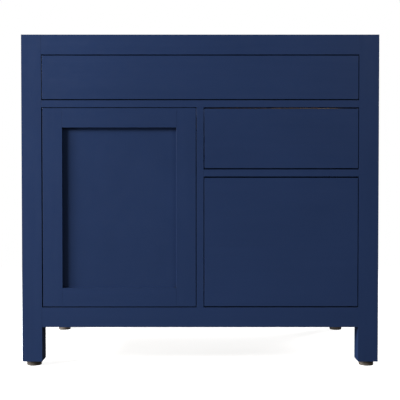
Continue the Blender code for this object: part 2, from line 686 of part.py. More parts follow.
def build_slides(level, height, drawer):
    """Both slides of a drawer: cabinet, middle and drawer members, nested, with room for the balls between them."""
    moving = pivot(f"{level}_slide_pivot", (0, FRONT, height))
    step = 2 * (SLIDE_WALL + SLIDE_BALL_SPACE)
    middle_start = GAP + SLIDE_WALL + GAP * 4
    inner_end = SLIDE_SPACE - GAP
    start = BOX_FRONT + SLIDE_FRONT
    full = (start, start + SLIDE_LENGTH)
    shorter = (full[0] + SLIDE_MIDDLE_SHORTER / 2, full[1] - SLIDE_MIDDLE_SHORTER / 2)
    sections = {
        "cabinet": (channel(GAP, GAP + SLIDE_OUTER_WIDTH, SLIDE_HEIGHT, True), full, None),
        "middle": (
            channel(middle_start, middle_start + SLIDE_MIDDLE_WIDTH, SLIDE_HEIGHT - step, True),
            shorter,
            moving,
        ),
        "drawer": (
            channel(inner_end - SLIDE_INNER_WIDTH, inner_end, SLIDE_HEIGHT - 2 * step, False),
            full,
            drawer,
        ),
    }
    for side, face, sign in (("left", HALF_STILE, 1), ("right", POST_X, -1)):
        for member, (section, y, parent) in sections.items():
            outline = [(face + sign * u, height + v) for u, v in section]
            sheet(f"{level}_slide_{member}_{side}", "XZ", outline, y, steel, parent)


# ---- Assembly -----------------------------------------------------------------------------------------------------
clear_scene()
parts = new_collection("bathroom_vanity_cabinet")
cutters = new_collection("cutters")
navy = material("navy_paint", (0.015, 0.033, 0.090), 0.40)
birch = material("birch", (0.62, 0.45, 0.28), 0.50)
plywood = material("painted_plywood", (0.016, 0.035, 0.092), 0.50)
steel = material("zinc_plated_steel", (0.60, 0.60, 0.62), 0.35, 1.0)
latch_plastic = material("grey_latch_plastic", (0.45, 0.45, 0.46), 0.50)
foot_plastic = material("taupe_foot_plastic", (0.10, 0.085, 0.070), 0.50)

build_posts()
build_front_frame()
build_sides()
build_back()
build_inside()
build_door()
build_latch()
build_drawer("upper", (DRAWER_RAIL_TOP, MIDDLE_RAIL_BASE), UPPER_BOX_HEADROOM)
build_drawer("lower", (FLOOR_TOP, DRAWER_RAIL_BASE), LOWER_BOX_HEADROOM)
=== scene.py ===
"""Looks for the bathroom vanity cabinet: satin navy paint, birch inside, plated hardware, a pale studio."""

import math

import bmesh
import bpy
from mathutils import Matrix, Vector


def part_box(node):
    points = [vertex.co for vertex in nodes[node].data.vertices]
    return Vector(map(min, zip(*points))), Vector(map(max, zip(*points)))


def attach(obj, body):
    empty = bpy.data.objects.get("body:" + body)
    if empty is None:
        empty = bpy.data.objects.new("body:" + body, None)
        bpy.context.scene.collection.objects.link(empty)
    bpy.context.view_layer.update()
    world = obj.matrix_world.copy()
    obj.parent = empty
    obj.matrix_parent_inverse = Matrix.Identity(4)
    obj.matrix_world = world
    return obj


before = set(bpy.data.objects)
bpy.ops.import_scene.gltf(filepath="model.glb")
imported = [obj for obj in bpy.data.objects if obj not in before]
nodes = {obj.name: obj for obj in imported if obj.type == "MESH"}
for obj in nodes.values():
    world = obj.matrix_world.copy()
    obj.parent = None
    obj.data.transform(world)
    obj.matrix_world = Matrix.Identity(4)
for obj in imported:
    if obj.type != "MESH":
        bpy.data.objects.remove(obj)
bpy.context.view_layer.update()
scene = bpy.context.scene

FRONT_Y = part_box("post_front_left")[0].y  # the cabinet's face

# ---- Camera -------------------------------------------------------------------------------------------------------
CAMERA_DISTANCE = 2.050  # in front of the cabinet's face
CAMERA_HEIGHT = 0.4753
CAMERA_LEFT = 0.0004  # of the middle
CAMERA_DOWN = math.radians(1.30)
CAMERA_REACH = 50.0
SENSOR_WIDTH = 36.0
FOCAL_SHARE = 800.3 / 400  # focal length in picture widths

camera_data = bpy.data.cameras.new("camera")
camera_data.sensor_width = SENSOR_WIDTH
camera_data.lens = SENSOR_WIDTH * FOCAL_SHARE
camera_data.clip_end = CAMERA_REACH
camera = bpy.data.objects.new("camera", camera_data)
scene.collection.objects.link(camera)
camera.location = (-CAMERA_LEFT, FRONT_Y - CAMERA_DISTANCE, CAMERA_HEIGHT)
camera.rotation_euler = (math.pi / 2 - CAMERA_DOWN, 0.0, 0.0)
scene.camera = camera


# ---- Node helpers -------------------------------------------------------------------------------------------------
class Nodes:
    """Short calls for building one material's nodes."""

    def __init__(self, name):
        self.material = bpy.data.materials.new(name)
        self.material.use_nodes = True
        self.tree = self.material.node_tree
        self.shader = self.tree.nodes["Principled BSDF"]
        self.object_space = self.add("ShaderNodeTexCoord").outputs["Object"]

    def add(self, kind, **settings):
        node = self.tree.nodes.new(kind)
        for key, value in settings.items():
            setattr(node, key, value)
        return node

    def link(self, source, target):
        self.tree.links.new(source, target)

    def set(self, **values):
        for key, value in values.items():
            self.shader.inputs[key.replace("_", " ")].default_value = value

    def mapped(self, scale=(1, 1, 1)):
        mapping = self.add("ShaderNodeMapping")
        mapping.inputs["Scale"].default_value = scale
        self.link(self.object_space, mapping.inputs["Vector"])
        return mapping.outputs["Vector"]

    def noise(self, vector, scale, detail=4.0, roughness=0.5, distortion=0.0):
        node = self.add("ShaderNodeTexNoise")
        node.inputs["Scale"].default_value = scale
        node.inputs["Detail"].default_value = detail
        node.inputs["Roughness"].default_value = roughness
        node.inputs["Distortion"].default_value = distortion
        self.link(vector, node.inputs["Vector"])
        return node.outputs["Fac"]

    def ranged(self, value, low, high, to_low=0.0, to_high=1.0):
        """Moves a value from one range to another, and stops it at the ends."""
        node = self.add("ShaderNodeMapRange")
        node.inputs["From Min"].default_value = low
        node.inputs["From Max"].default_value = high
        node.inputs["To Min"].default_value = to_low
        node.inputs["To Max"].default_value = to_high
        self.link(value, node.inputs["Value"])
        return node.outputs["Result"]

    def math(self, operation, a, b=0.0):
        node = self.add("ShaderNodeMath", operation=operation)
        for socket, value in zip(node.inputs, (a, b)):
            if isinstance(value, (int, float)):
                socket.default_value = value
            else:
                self.link(value, socket)
        return node.outputs["Value"]

    def mix(self, factor, a, b):
        node = self.add("ShaderNodeMix", data_type="RGBA")
        for socket, value in zip((node.inputs[0], node.inputs[6], node.inputs[7]), (factor, a, b)):
            if isinstance(value, (int, float)):
                socket.default_value = value
            elif isinstance(value, tuple):
                socket.default_value = (*value, 1.0)
            else:
                self.link(value, socket)
        return node.outputs[2]

    def bump(self, height, distance, strength, base=None):
        node = self.add("ShaderNodeBump")
        node.inputs["Distance"].default_value = distance
        node.inputs["Strength"].default_value = strength
        self.link(height, node.inputs["Height"])
        if base:
            self.link(base, node.inputs["Normal"])
        return node.outputs["Normal"]

    def parts(self, vector):
        node = self.add("ShaderNodeSeparateXYZ")
        self.link(vector, node.inputs[0])
        return node.outputs

    def open_air(self, distance):
        """1 on an open face, falling to 0 deep in a gap much narrower than the distance."""
        node = self.add("ShaderNodeAmbientOcclusion", samples=8)
        node.inputs["Distance"].default_value = distance
        return node.outputs["AO"]

    def colour(self, socket):
        self.link(socket, self.shader.inputs["Base Color"])

    def roughness(self, socket):
        self.link(socket, self.shader.inputs["Roughness"])

    def normal(self, socket):
        self.link(socket, self.shader.inputs["Normal"])


# ---- Materials ----------------------------------------------------------------------------------------------------
NAVY = (0.0150, 0.0310, 0.0880)
BIRCH_LIGHT, BIRCH_DARK = (0.66, 0.50, 0.33), (0.55, 0.39, 0.245)
GAP_DISTANCE = 0.014  # how near a facing wall must be before the paint counts as in a gap
GAP_DEEP, GAP_OPEN = 0.15, 0.50  # open air where the gaps' painted shade is darkest and the paint roughest, and where both end


def shade(colour, factor):
    return tuple(min(1.0, c * factor) for c in colour)


def along_axis(axis, along, across):
    """A texture scale that is small along one axis, so that the pattern runs out long that way."""
    return tuple(along if axis == name else across for name in "XYZ")


def navy_paint(name, axis):
    """Sprayed satin paint. Very faint grain shows through along the board, over a fine orange-peel surface.

    In narrow gaps, where ambient occlusion finds facing walls, the colour is darkened as painted shade, and the
    paint is made dull.
    """
    n = Nodes(name)
    grain = n.noise(n.mapped((9, 9, 9) if axis == "N" else along_axis(axis, 2.5, 60)), 1.6, 5.0, 0.6, 0.2)
    cloud = n.noise(n.mapped(), 2.3, 2.0, 0.5)
    tone = n.math("ADD", n.ranged(cloud, 0.3, 0.7, 0.96, 1.04), n.ranged(grain, 0.3, 0.7, -0.018, 0.018))
    open_air = n.open_air(GAP_DISTANCE)
    coat = n.mix(n.ranged(tone, 0.9, 1.1), shade(NAVY, 0.86), shade(NAVY, 1.14))
    # painted shade: deep in narrow gaps the navy is mixed down to a quarter of its tone
    n.colour(n.mix(n.ranged(open_air, GAP_DEEP, GAP_OPEN), shade(NAVY, 0.25), coat))
    peel = n.noise(n.mapped(), 420.0, 2.0, 0.5)
    speck = n.noise(n.mapped(), 60.0, 3.0, 0.55)
    satin = n.math("ADD", n.ranged(speck, 0.3, 0.7, 0.31, 0.37), n.ranged(grain, 0.3, 0.7, -0.015, 0.015))
    n.roughness(n.math("MAXIMUM", satin, n.ranged(open_air, GAP_DEEP, GAP_OPEN, 1.0, 0.31)))
    first = n.bump(grain, 0.00006, 0.35)
    n.normal(n.bump(peel, 0.00004, 0.30, first))
    n.set(Specular_IOR_Level=0.28)
    return n.material


def board_wood(name, axis, light, dark, gloss):
    """Lacquered wood with its grain along one axis: broad figure, fine pores and slight colour change."""
    n = Nodes(name)
    figure = n.noise(n.mapped(along_axis(axis, 0.35, 7)), 2.2, 6.0, 0.62, 0.9)
    pores = n.noise(n.mapped(along_axis(axis, 6, 260)), 1.0, 3.0, 0.6)
    cloud = n.noise(n.mapped(), 3.0, 2.0, 0.5)
    base = n.mix(n.ranged(figure, 0.32, 0.68), light, dark)
    base = n.mix(n.ranged(pores, 0.58, 0.80, 0.0, 0.45), base, shade(dark, 0.62))
    base = n.mix(n.ranged(cloud, 0.3, 0.7, 0.0, 0.25), base, shade(light, 1.08))
    n.colour(base)
    n.roughness(n.ranged(figure, 0.3, 0.7, gloss - 0.04, gloss + 0.06))
    n.normal(n.bump(pores, 0.00008, 0.35))
    n.set(Specular_IOR_Level=0.4)
    return n.material


def plywood(name, face_axis, thin_axis, pitch, painted_side):
    """Birch plywood with its plies, each a pitch thick, showing at the edges. It is painted navy inside.

    thin_axis is the number of the axis through the sheet, and face_axis the letter of its grain's.
    painted_side is 1 or -1 for the one face on that side of the sheet, and 0 for both.
    """
    n = Nodes(name)
    figure = n.noise(n.mapped(along_axis(face_axis, 0.4, 6)), 2.0, 6.0, 0.62, 1.1)
    pores = n.noise(n.mapped(along_axis(face_axis, 6, 220)), 1.0, 3.0, 0.6)
    face = n.mix(n.ranged(figure, 0.32, 0.68), BIRCH_LIGHT, (0.54, 0.38, 0.235))
    face = n.mix(n.ranged(pores, 0.58, 0.8, 0.0, 0.4), face, (0.33, 0.22, 0.13))
    across = n.parts(n.object_space)[thin_axis]
    wave = n.math("SINE", n.math("MULTIPLY", across, math.pi / pitch))
    ply = n.mix(n.ranged(wave, -0.4, 0.4), (0.60, 0.45, 0.29), (0.30, 0.19, 0.11))
    facing = n.parts(n.add("ShaderNodeNewGeometry").outputs["Normal"])[thin_axis]
    either_face = n.math("ABSOLUTE", facing)
    bare = n.mix(n.math("GREATER_THAN", either_face, 0.7), ply, face)
    towards = n.math("MULTIPLY", facing, painted_side) if painted_side else either_face
    navy = n.mix(n.ranged(figure, 0.32, 0.68), shade(NAVY, 0.86), shade(NAVY, 1.04))
    n.colour(n.mix(n.math("GREATER_THAN", towards, 0.5), bare, navy))
    n.roughness(n.ranged(figure, 0.3, 0.7, 0.46, 0.58))
    n.normal(n.bump(pores, 0.00008, 0.35))
    n.set(Specular_IOR_Level=0.4)
    return n.material


def zinc(name, axis, tone=(0.60, 0.61, 0.63), rough=0.30):
    """Zinc-plated steel: drawn along one axis, with faint spangle and light handling marks."""
    n = Nodes(name)
    drawn = n.noise(n.mapped((180, 180, 180) if axis == "N" else along_axis(axis, 4, 500)), 1.0, 4.0, 0.6)
    cloud = n.noise(n.mapped(), 35.0, 4.0, 0.6)
    tint = n.math("ADD", drawn, n.math("MULTIPLY", cloud, 0.7))
    n.colour(n.mix(n.ranged(tint, 0.6, 1.1), shade(tone, 0.86), shade(tone, 1.10)))
    marks = n.ranged(cloud, 0.3, 0.7, 0.0, 0.06)
    n.roughness(n.math("ADD", n.ranged(drawn, 0.3, 0.7, rough - 0.05, rough + 0.07), marks))
    n.normal(n.bump(drawn, 0.00003, 0.4))
    n.set(Metallic=1.0)
    return n.material


def moulded(name, tone, rough):
    """Moulded plastic with a fine spark-eroded texture."""
    n = Nodes(name)
    fine = n.noise(n.mapped(), 900.0, 3.0, 0.55)
    cloud = n.noise(n.mapped(), 40.0, 3.0, 0.5)
    n.colour(n.mix(n.ranged(cloud, 0.3, 0.7), shade(tone, 0.88), shade(tone, 1.12)))
    n.roughness(n.ranged(cloud, 0.3, 0.7, rough - 0.05, rough + 0.06))
    n.normal(n.bump(fine, 0.00006, 0.5))
    n.set(Specular_IOR_Level=0.45)
    return n.material


# The letter is the axis that the grain or the drawing marks run along. N has no direction.
PAINT = {axis: navy_paint(f"navy_paint_{axis.lower()}", axis) for axis in "XZN"}
BIRCH = {axis: board_wood(f"birch_{axis.lower()}", axis, BIRCH_LIGHT, BIRCH_DARK, 0.42) for axis in "XY"}
PLY_SIDE = plywood("plywood_upright", "Y", 0, 0.0026, 0)
PLY_FLAT = plywood("plywood_flat", "X", 2, 0.0026, 1)
PLY_BACK = plywood("plywood_back", "Z", 1, 0.0015, -1)
PLY_CLEAT = plywood("plywood_cleat", "X", 1, 0.0024, -1)
ZINC = {axis: zinc(f"zinc_{axis.lower()}", axis) for axis in "YZN"}
NICKEL = zinc("nickel_cup", "N", (0.66, 0.64, 0.61), 0.22)
BALL_STEEL = zinc("ball_steel", "N", (0.72, 0.72, 0.74), 0.12)
GREY_PLASTIC = moulded("grey_latch_plastic", (0.40, 0.40, 0.41), 0.45)
FOOT_PLASTIC = moulded("taupe_foot_plastic", (0.115, 0.095, 0.078), 0.48)
CAGE_PLASTIC = moulded("ball_cage_plastic", (0.55, 0.56, 0.58), 0.4)


SHARP = math.radians(40)  # an edge that turns more than this is eased
EASED = 0.0004  # painted boards' edges
CUT_EDGE = 0.0003  # sheet goods, drawer boards and pressed steel


def paint_node(name, material, bevel, segments=2):
    """Gives a solid its material and eases its edges."""
    obj = nodes[name]
    obj.data.materials.clear()
    obj.data.materials.append(material)
    weld = obj.modifiers.new("Weld", "WELD")
    weld.merge_threshold = 0.00001
    edge = obj.modifiers.new("Eased", "BEVEL")
    edge.width = bevel
    edge.segments = segments
    edge.limit_method = "ANGLE"
    edge.angle_limit = SHARP
    edge.harden_normals = False


BOARDS = {
    "X": ["rail_front_top", "rail_front_middle", "rail_front_bottom", "rail_between_drawers", "false_front",
          "door_rail_top", "door_rail_bottom", "rail_back_top", "rail_back_bottom", "upper_drawer_front",
          "lower_drawer_front"],
    "Z": ["post_front_left", "post_front_right", "post_rear_left", "post_rear_right", "stile_front_centre",
          "door_stile_left", "door_stile_right", "side_panel_left", "side_panel_right"],
    "N": ["door_panel"],
}
for axis, names in BOARDS.items():
    for name in names:
        paint_node(name, PAINT[axis], EASED)
paint_node("back_panel", PLY_BACK, CUT_EDGE)
paint_node("floor_panel", PLY_FLAT, CUT_EDGE)
paint_node("centre_partition", PLY_SIDE, 0.0004)
LEVELS = ("upper", "lower")
DRAWER_BOARDS = {"inner_front": "X", "back": "X", "bottom": "X", "side_left": "Y", "side_right": "Y"}
for level in LEVELS:
    paint_node(f"runner_batten_{level}", BIRCH["Y"], 0.0008)
    for part, axis in DRAWER_BOARDS.items():
        paint_node(f"{level}_drawer_{part}", BIRCH[axis], CUT_EDGE, 1)
    for member in ("cabinet", "middle", "drawer"):
        for side in ("left", "right"):
            paint_node(f"{level}_slide_{member}_{side}", ZINC["Y"], CUT_EDGE, 1)
    paint_node(f"hinge_cup_{level}", NICKEL, 0.0001, 1)
    paint_node(f"hinge_arm_{level}", ZINC["N"], CUT_EDGE, 1)
    paint_node(f"hinge_plate_{level}", ZINC["Z"], 0.0004)
paint_node("latch_housing", GREY_PLASTIC, 0.0008, 3)
paint_node("latch_plunger", GREY_PLASTIC, 0.0004)
for foot in ("front_left", "front_right", "rear_left", "rear_right"):
    paint_node(f"foot_{foot}", FOOT_PLASTIC, 0.0005)


# ---- Shape helpers ------------------------------------------------------------------------------------------------
def finish_piece(name, shape, material, body, bevel=0.0, smooth=False, segments=2):
    """Turns a bmesh in the row's frame into a piece that rides on a body."""
    bmesh.ops.recalc_face_normals(shape, faces=shape.faces)
    if bevel:
        edges = [e for e in shape.edges if len(e.link_faces) == 2 and e.calc_face_angle(0.0) > SHARP]
        bmesh.ops.bevel(shape, geom=edges, offset=bevel, segments=segments, affect="EDGES", profile=0.5)
    mesh = bpy.data.meshes.new(name)
    shape.to_mesh(mesh)
    shape.free()
    if smooth:
        mesh.shade_smooth()
        mesh.set_sharp_from_angle(angle=SHARP)
    obj = bpy.data.objects.new(name, mesh)
    obj.data.materials.append(material)
    scene.collection.objects.link(obj)
    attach(obj, body)


def add_box(shape, low, high):
    made = bmesh.ops.create_cube(shape, size=1.0)["verts"]
    bmesh.ops.scale(shape, vec=[b - a for a, b in zip(low, high)], verts=made)
    bmesh.ops.translate(shape, vec=[(a + b) / 2 for a, b in zip(low, high)], verts=made)
    return made


def add_prism(shape, start, end):
    """Two like outlines, given as lists of points, and the walls between them."""
    start, end = [shape.verts.new(p) for p in start], [shape.verts.new(p) for p in end]
    shape.faces.new(start[::-1])
    shape.faces.new(end)
    for i in range(len(start)):
        j = (i + 1) % len(start)
        shape.faces.new((start[i], start[j], end[j], end[i]))


def turned_mesh(profile, segments=24):
    """A closed profile of (radius, height) points, from the top of the axis to its foot, turned about Z."""
    shape = bmesh.new()
    angles = [2 * math.pi * i / segments for i in range(segments)]
    rings = []
    for radius, height in profile:
        turns = angles if radius else [0.0]
        rings.append([shape.verts.new((radius * math.cos(a), radius * math.sin(a), height)) for a in turns])
    for upper, lower in zip(rings, rings[1:]):
        for i in range(segments):
            j = (i + 1) % segments
            if len(upper) == 1:
                shape.faces.new((upper[0], lower[i], lower[j]))
            elif len(lower) == 1:
                shape.faces.new((upper[i], lower[0], upper[j]))
            else:
                shape.faces.new((upper[i], lower[i], lower[j], upper[j]))
    bmesh.ops.recalc_face_normals(shape, faces=shape.faces)
    return shape


def screw_head(radius, height):
    """A pan head with a cross recess, standing on Z = 0."""
    crown = ((0, 1), (0.45, 0.98), (0.75, 0.84), (0.93, 0.55), (1, 0.25), (1, 0), (0, 0))
    head = turned_mesh([(radius * out, height * up) for out, up in crown])
    arm, width, taper = radius * 0.55, radius * 0.16, 0.7
    recess = bmesh.new()
    for x, y in ((width, arm), (arm, width)):
        for v in add_box(recess, (-x, -y, height * 0.35), (x, y, height * 1.5)):
            if v.co.z < height:
                v.co.x *= taper
                v.co.y *= taper
    made = []
    for name, shape in (("screw_head", head), ("recess", recess)):
        mesh = bpy.data.meshes.new(name)
        shape.to_mesh(mesh)
        shape.free()
        made.append(bpy.data.objects.new(name, mesh))
        scene.collection.objects.link(made[-1])
    head_obj, cutter = made
    cut = head_obj.modifiers.new("Recess", "BOOLEAN")
    cut.operation = "DIFFERENCE"
    cut.object = cutter
    cut.use_self = True
    bpy.context.view_layer.update()
    graph = bpy.context.evaluated_depsgraph_get()
    mesh = bpy.data.meshes.new_from_object(head_obj.evaluated_get(graph))
    for obj in made:
        bpy.data.objects.remove(obj)
    return mesh


HEAD = screw_head(1.0, 0.42)
DIRECTION = {
    "+X": Vector((1, 0, 0)), "-X": Vector((-1, 0, 0)), "+Y": Vector((0, 1, 0)), "-Y": Vector((0, -1, 0)),
    "+Z": Vector((0, 0, 1)), "-Z": Vector((0, 0, -1)),
}


def screws(name, body, places, direction, radius):
    """Screw heads of one size on one surface, each turned a little differently."""
    shape = bmesh.new()
    towards = DIRECTION[direction].to_track_quat("Z", "Y").to_matrix()
    for i, place in enumerate(places):
        before = len(shape.verts)
        shape.from_mesh(HEAD)
        shape.verts.ensure_lookup_table()
        turn = Matrix.Rotation(0.7 + 1.9 * i, 3, "Z")
        for v in shape.verts[before:]:
            v.co = towards @ (turn @ (v.co * radius)) + Vector(place)
    finish_piece(name, shape, ZINC["N"], body, smooth=True)


def spread(low, high, count):
    return [low + i * (high - low) / (count - 1) for i in range(count)]


# ---- Pieces the solids leave out ----------------------------------------------------------------------------------
TOUCH = 0.0003  # clearance left between pieces that touch
HEAD_RADIUS = {  # of each kind of screw
    "wood": 0.0036, "batten": 0.0038, "cup": 0.0034, "arm": 0.0027, "drawer_front": 0.0048,
    "cabinet_slide": 0.0024, "drawer_slide": 0.0034, "strike": 0.0024, "latch": 0.0026,
}


def apart(distance):
    """Two places that far from each other, about a middle."""
    return (-distance / 2, distance / 2)


FILLER_DEPTH = 0.0012


def joint_fillers():
    """Filler in the joints of the painted frames, so that the face runs through without a line."""
    half = TOUCH / 2 + EASED
    rear = FRONT_Y + FILLER_DEPTH

    def fill_beside(shape, rail, joints):
        low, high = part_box(rail)
        for x in joints:
            add_box(shape, (x - half, FRONT_Y, low.z + EASED), (x + half, rear, high.z - EASED))

    post_left, post_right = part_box("post_front_left")[1].x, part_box("post_front_right")[0].x
    stile_low, stile_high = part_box("stile_front_centre")
    shape = bmesh.new()
    for rail in ("rail_front_top", "rail_front_middle", "rail_front_bottom"):
        fill_beside(shape, rail, (post_left, post_right))
    fill_beside(shape, "rail_between_drawers", (post_right, stile_high.x))
    for z in (stile_low.z, stile_high.z):
        add_box(shape, (stile_low.x + EASED, FRONT_Y, z - half), (stile_high.x - EASED, rear, z + half))
    finish_piece("frame_joint_filler", shape, PAINT["N"], "cabinet")
    shape = bmesh.new()
    for rail in ("door_rail_top", "door_rail_bottom"):
        fill_beside(shape, rail, (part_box("door_stile_left")[1].x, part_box("door_stile_right")[0].x))
    finish_piece("door_joint_filler", shape, PAINT["N"], "door")


CLEAT_THICKNESS = 0.012
CLEAT_END = 0.002  # short of the frame at each end
CLEAT_HEIGHT = 0.040  # the lower one, which stands on the middle rail
CLEAT_BELOW, CLEAT_ABOVE = 0.024, 0.020  # the upper one, about its joint
CLEAT_SCREW_END = 0.03


def cleats():
    """Boards behind the false front, screwed over its upper and lower joints with the frame."""
    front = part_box("false_front")[1].y + TOUCH
    rear = front + CLEAT_THICKNESS
    rail_low, rail_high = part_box("rail_front_middle")
    left, right = rail_low.x + CLEAT_END, rail_high.x - CLEAT_END
    base = rail_high.z + TOUCH
    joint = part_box("rail_front_top")[0].z
    heights = {"lower": (base, base + CLEAT_HEIGHT), "upper": (joint - CLEAT_BELOW, joint + CLEAT_ABOVE)}
    for place, (low, high) in heights.items():
        shape = bmesh.new()
        add_box(shape, (left, front, low), (right, rear, high))
        finish_piece(f"false_front_cleat_{place}", shape, PLY_CLEAT, "cabinet", 0.0006)
        xs = spread(left + CLEAT_SCREW_END, right - CLEAT_SCREW_END, 6)
        places = [(x, rear, (low + high) / 2) for x in xs]
        screws(f"cleat_screws_{place}", "cabinet", places, "+Y", HEAD_RADIUS["wood"])


BLOCK_DROP, BLOCK_THICKNESS = 0.002, 0.018  # below the rim
BLOCK_REACH = 0.065  # along each side, from the post
BLOCK_SCREW_OFFSET = 0.014


def corner_blocks():
    """Gussets under the rim, one in each corner, with the heads of the countertop's screws beneath."""
    rail_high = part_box("rail_front_top")[1]
    top = rail_high.z - BLOCK_DROP
    bottom = top - BLOCK_THICKNESS
    front_rail, back_rail = rail_high.y + TOUCH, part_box("rail_back_top")[0].y - TOUCH
    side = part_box("side_panel_right")[0].x - TOUCH
    post_low, post_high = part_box("post_front_right")
    post_x, post_y = post_low.x - TOUCH, post_high.y + TOUCH
    rear_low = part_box("post_rear_right")[0]
    rear_x, rear_y = rear_low.x - TOUCH, rear_low.y - TOUCH
    outlines = {
        "front": [
            (post_x, front_rail), (post_x - BLOCK_REACH, front_rail),
            (side, post_y + BLOCK_REACH), (side, post_y), (post_x, post_y),
        ],
        "rear": [
            (rear_x, back_rail), (rear_x, rear_y), (side, rear_y),
            (side, rear_y - BLOCK_REACH), (rear_x - BLOCK_REACH, back_rail),
        ],
    }
    for name, outline in outlines.items():
        cx = sum(x for x, y in outline) / len(outline)
        cy = sum(y for x, y in outline) / len(outline)
        for side_name, sign in (("right", 1), ("left", -1)):
            points = [(sign * x, y) for x, y in outline][::sign]
            shape = bmesh.new()
            add_prism(shape, [(x, y, bottom) for x, y in points], [(x, y, top) for x, y in points])
            finish_piece(f"corner_block_{name}_{side_name}", shape, BIRCH["X"], "cabinet", 0.0008)
            places = [(sign * (cx + dx), cy, bottom) for dx in (BLOCK_SCREW_OFFSET, -BLOCK_SCREW_OFFSET)]
            screws(f"block_screws_{name}_{side_name}", "cabinet", places, "-Z", HEAD_RADIUS["wood"])


CUP_SCREWS_APART, PLATE_SCREWS_APART = 0.047, 0.033
CUP_SCREW_INSET = 0.010  # from the cup's far side
ARM_FOOT = 0.003  # height of the arm's foot above its plate
ARM_SCREWS_FROM_REAR = (0.0055, 0.0135)


def hinge_fittings():
    """Screws of the cups, the plates and the arms."""
    for level in LEVELS:
        cup_low, cup_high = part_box(f"hinge_cup_{level}")
        z = (cup_low.z + cup_high.z) / 2
        places = [(cup_high.x - CUP_SCREW_INSET, cup_high.y, z + dz) for dz in apart(CUP_SCREWS_APART)]
        screws(f"cup_screws_{level}", "door", places, "+Y", HEAD_RADIUS["cup"])
        plate_low, plate_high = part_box(f"hinge_plate_{level}")
        y = (plate_low.y + plate_high.y) / 2
        places = [(plate_high.x, y, z + dz) for dz in apart(PLATE_SCREWS_APART)]
        screws(f"plate_screws_{level}", "cabinet", places, "+X", HEAD_RADIUS["wood"])
        foot = plate_high.x + TOUCH + ARM_FOOT
        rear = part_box(f"hinge_arm_{level}")[1].y
        places = [(foot, rear - inset, z) for inset in ARM_SCREWS_FROM_REAR]
        screws(f"arm_screws_{level}", "cabinet", places, "+X", HEAD_RADIUS["arm"])


SLIDE_WALL = 0.0012
FRONT_SCREW_PLACES = (0.22, 0.78)  # shares of the drawer box's width
FRONT_SCREW_HEIGHTS = {"upper": (0.6,), "lower": (0.35, 0.75)}  # and of its height
CABINET_SLIDE_SCREWS = (0.037, 0.030)  # from the member's front end and from its rear
DRAWER_SLIDE_SCREWS = (0.035, 0.060)


def ends_and_middle(low, high, insets):
    return low + insets[0], (low + high) / 2, high - insets[1]


def drawer_fittings():
    """Screws of the drawers' fronts and slides, and the slides' ball cages."""
    for level in LEVELS:
        body = f"{level}_drawer"
        low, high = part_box(f"{level}_drawer_inner_front")
        heights = [low.z + (high.z - low.z) * share for share in FRONT_SCREW_HEIGHTS[level]]
        xs = [low.x + (high.x - low.x) * share for share in FRONT_SCREW_PLACES]
        screws(f"{level}_front_screws", body, [(x, high.y, z) for x in xs for z in heights], "+Y",
               HEAD_RADIUS["drawer_front"])
        for side, sign in (("left", 1), ("right", -1)):
            out, inward = ("+X", "-X") if sign > 0 else ("-X", "+X")
            low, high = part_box(f"{level}_slide_cabinet_{side}")
            z = (low.z + high.z) / 2
            web = low.x + SLIDE_WALL if sign > 0 else high.x - SLIDE_WALL
            places = [(web, y, z) for y in ends_and_middle(low.y, high.y, CABINET_SLIDE_SCREWS)]
            name, size = f"{level}_cabinet_slide_screws_{side}", HEAD_RADIUS["cabinet_slide"]
            screws(name, "cabinet", places, out, size)
            low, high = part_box(f"{level}_slide_drawer_{side}")
            web = high.x - SLIDE_WALL if sign > 0 else low.x + SLIDE_WALL
            places = [(web, y, z) for y in ends_and_middle(low.y, high.y, DRAWER_SLIDE_SCREWS)]
            name, size = f"{level}_drawer_slide_screws_{side}", HEAD_RADIUS["drawer_slide"]
            screws(name, body, places, inward, size)
            ball_cages(level, side, sign)


CAGE_LENGTH = 0.090
CAGE_INSET = 0.004  # from the middle member's end
CAGE_HALF_WIDTH, CAGE_HALF_THICKNESS = 0.0028, 0.0003
BALL_RADIUS = 0.00072
BALLS_IN_ROW, BALL_PITCH, FIRST_BALL = 9, 0.00975, 0.006


def ball_cages(level, side, sign):
    """Plastic strips of steel balls between the nested members' flanges, above and below."""
    outer_low, outer_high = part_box(f"{level}_slide_cabinet_{side}")
    middle_low, middle_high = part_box(f"{level}_slide_middle_{side}")
    drawer_low, drawer_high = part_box(f"{level}_slide_drawer_{side}")
    x_outer = (middle_low.x + outer_high.x) / 2 if sign > 0 else (outer_low.x + middle_high.x) / 2
    x_inner = (middle_high.x + drawer_low.x) / 2 if sign > 0 else (drawer_high.x + middle_low.x) / 2
    front_only = (middle_low.y + CAGE_INSET,)
    both_ends = (*front_only, middle_high.y - CAGE_INSET - CAGE_LENGTH)
    rows = (
        (x_outer, outer_high.z - SLIDE_WALL, middle_high.z, front_only),
        (x_outer, middle_low.z, outer_low.z + SLIDE_WALL, front_only),
        (x_inner, middle_high.z - SLIDE_WALL, drawer_high.z, both_ends),
        (x_inner, drawer_low.z, middle_low.z + SLIDE_WALL, both_ends),
    )
    strips, balls = bmesh.new(), bmesh.new()
    for x, top, bottom, starts in rows:
        z = (top + bottom) / 2
        for y in starts:
            corner = Vector((CAGE_HALF_WIDTH, 0, CAGE_HALF_THICKNESS))
            add_box(strips, Vector((x, y, z)) - corner, Vector((x, y + CAGE_LENGTH, z)) + corner)
            for i in range(BALLS_IN_ROW):
                made = bmesh.ops.create_icosphere(balls, subdivisions=2, radius=BALL_RADIUS)["verts"]
                bmesh.ops.translate(balls, vec=(x, y + FIRST_BALL + BALL_PITCH * i, z), verts=made)
    body = f"{level}_slide_members"
    finish_piece(f"{level}_ball_cages_{side}", strips, CAGE_PLASTIC, body, 0.0001, segments=1)
    finish_piece(f"{level}_balls_{side}", balls, BALL_STEEL, body, smooth=True)


